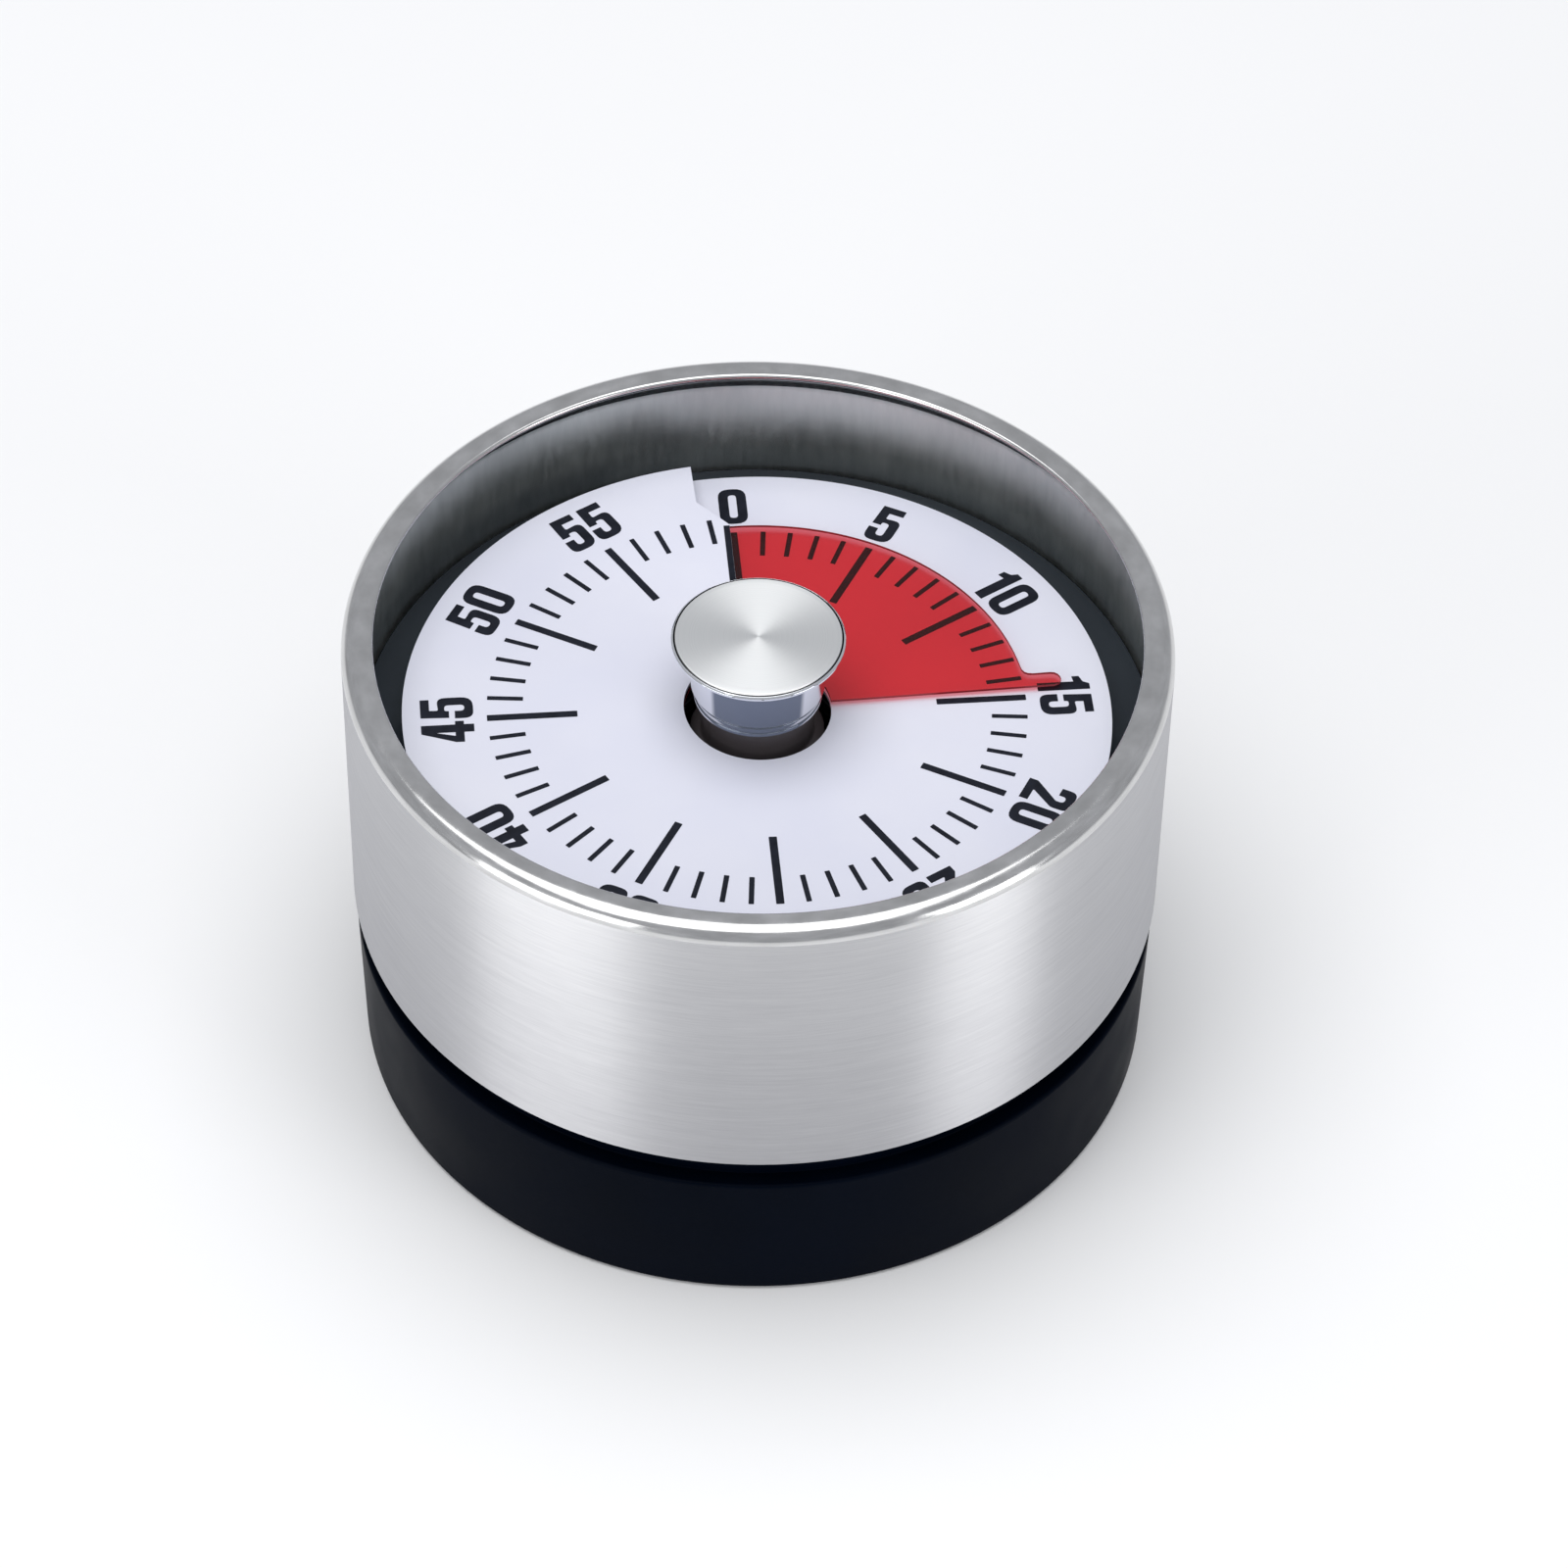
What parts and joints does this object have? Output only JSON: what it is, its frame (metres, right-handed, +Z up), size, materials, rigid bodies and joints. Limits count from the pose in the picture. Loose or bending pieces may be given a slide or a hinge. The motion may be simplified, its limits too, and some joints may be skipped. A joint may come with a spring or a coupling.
{
  "type": "kitchen timer",
  "caption": "Wind-up kitchen timer: brushed steel shell on a black base, sunken white minute dial, red see-through disc that shows the time left, and a waisted centre knob.",
  "frame": {"origin": "centre of the underside, on the plane that the foot ring rests on", "axes": "+Z up along the knob's axis, +Y from the knob towards the dial's 0 mark (the back as pictured), +X towards 15 minutes"},
  "size_m": [0.078, 0.078, 0.0498],
  "materials": {
    "brushed_steel": "brushed round the side, polished lip",
    "black_plastic": "satin moulded",
    "gloss_black": "glossy moulded",
    "dial_white": "satin printed sheet",
    "red_film": "smooth see-through film",
    "chrome": "polished",
    "spun_aluminium": "spun face, fine rings",
    "rubber": "matte",
    "zinc_steel": "zinc plated",
    "spring_steel": "blued spring steel",
    "brass": "stamped",
    "nickel": "nickel plated"
  },
  "bodies": {
    "root": {"steel_shell": "brushed_steel", "base_housing": "black_plastic", "back_cover": "black_plastic", "foot_ring": "rubber", "magnet_1": "nickel", "magnet_2": "nickel", "magnet_3": "nickel", "cover_screw_1": "zinc_steel", "cover_screw_2": "zinc_steel", "cover_screw_3": "zinc_steel", "dial_carrier": "gloss_black", "dial": "dial_white", "rear_plate": "zinc_steel", "front_plate": "zinc_steel", "pillar_1": "zinc_steel", "pillar_2": "zinc_steel", "pillar_3": "zinc_steel", "pillar_nut_1": "brass", "pillar_nut_2": "brass", "pillar_nut_3": "brass", "movement_screw_1": "zinc_steel", "movement_screw_2": "zinc_steel", "movement_screw_3": "zinc_steel", "mainspring": "spring_steel", "spring_post": "zinc_steel", "hairspring": "spring_steel", "hairspring_stud": "zinc_steel", "bell": "nickel", "bell_post": "zinc_steel", "bell_screw": "zinc_steel", "hammer_pivot": "zinc_steel", "hammer_spring": "spring_steel"},
    "knob": {"knob_body": "chrome", "knob_cap": "spun_aluminium", "disc_hub": "black_plastic", "main_arbor": "zinc_steel", "trip_cam": "brass", "ratchet_wheel": "zinc_steel"},
    "film": {"red_disc": "red_film"},
    "great_wheel": {"main_wheel": "brass", "click_stud": "zinc_steel", "click_spring": "spring_steel"},
    "click_lever": {"click": "zinc_steel"},
    "second_set": {"second_arbor": "zinc_steel", "second_wheel": "brass"},
    "third_set": {"third_arbor": "zinc_steel", "third_wheel": "brass"},
    "escape_set": {"escape_arbor": "zinc_steel", "escape_wheel": "brass"},
    "pallet_set": {"pallet_lever": "zinc_steel", "pallet_arbor": "zinc_steel"},
    "balance_set": {"balance_wheel": "brass", "balance_staff": "zinc_steel"},
    "striker": {"hammer": "zinc_steel"}
  },
  "joints": [
    {"name": "knob_turn", "type": "hinge", "parent": "root", "child": "knob", "pos_m": [0, 0, 0.045], "axis": [0, 0, -1], "range_deg": [-88.2, 269]},
    {"name": "film_rise", "type": "slide", "parent": "knob", "child": "film", "axis": [0, 0, 1], "range_m": [-0.0004, 0.00115]},
    {"name": "great_wheel_turn", "type": "hinge", "parent": "root", "child": "great_wheel", "pos_m": [0, 0, 0.0215], "axis": [0, 0, -1], "range_deg": [-90, 270]},
    {"name": "click_lift", "type": "hinge", "parent": "great_wheel", "child": "click_lever", "pos_m": [-0.00197, -0.00734, 0.0228], "axis": [0, 0, -1], "range_deg": [0, 10], "stiffness_Nm_per_rad": 0.00002, "springref_deg": -5.73, "deforming": ["click_spring"]},
    {"name": "second_wheel_turn", "type": "hinge", "parent": "root", "child": "second_set", "pos_m": [0.01755, 0, 0.0248], "axis": [0, 0, -1], "range_deg": [-2160, 710]},
    {"name": "third_wheel_turn", "type": "hinge", "parent": "root", "child": "third_set", "pos_m": [0.01516, 0.01356, 0.0233], "axis": [0, 0, -1], "range_deg": [-5650, 17220]},
    {"name": "escape_wheel_turn", "type": "hinge", "parent": "root", "child": "escape_set", "pos_m": [0.00438, 0.01749, 0.0257], "axis": [0, 0, -1], "range_deg": [-129200, 42400]},
    {"name": "pallet_rock", "type": "hinge", "parent": "root", "child": "pallet_set", "pos_m": [-0.00335, 0.01956, 0.0267], "axis": [0, 0, 1], "range_deg": [-6, 6]},
    {"name": "balance_swing", "type": "hinge", "parent": "root", "child": "balance_set", "pos_m": [-0.01398, 0.01671, 0.0186], "axis": [0, 0, 1], "range_deg": [-120, 120], "stiffness_Nm_per_rad": 0.00001},
    {"name": "hammer_swing", "type": "hinge", "parent": "root", "child": "striker", "pos_m": [-0.009, -0.012, 0.0098], "axis": [0, 0, 1], "range_deg": [-2, 7], "stiffness_Nm_per_rad": 0.002}
  ],
  "couplings": [
    {"joint": "film_rise", "follows": "knob_turn", "m_per_rad": 0.00023873},
    {"joint": "great_wheel_turn", "follows": "knob_turn", "ratio": 1},
    {"joint": "second_wheel_turn", "follows": "knob_turn", "ratio": -8},
    {"joint": "third_wheel_turn", "follows": "knob_turn", "ratio": 64},
    {"joint": "escape_wheel_turn", "follows": "knob_turn", "ratio": -480}
  ]
}
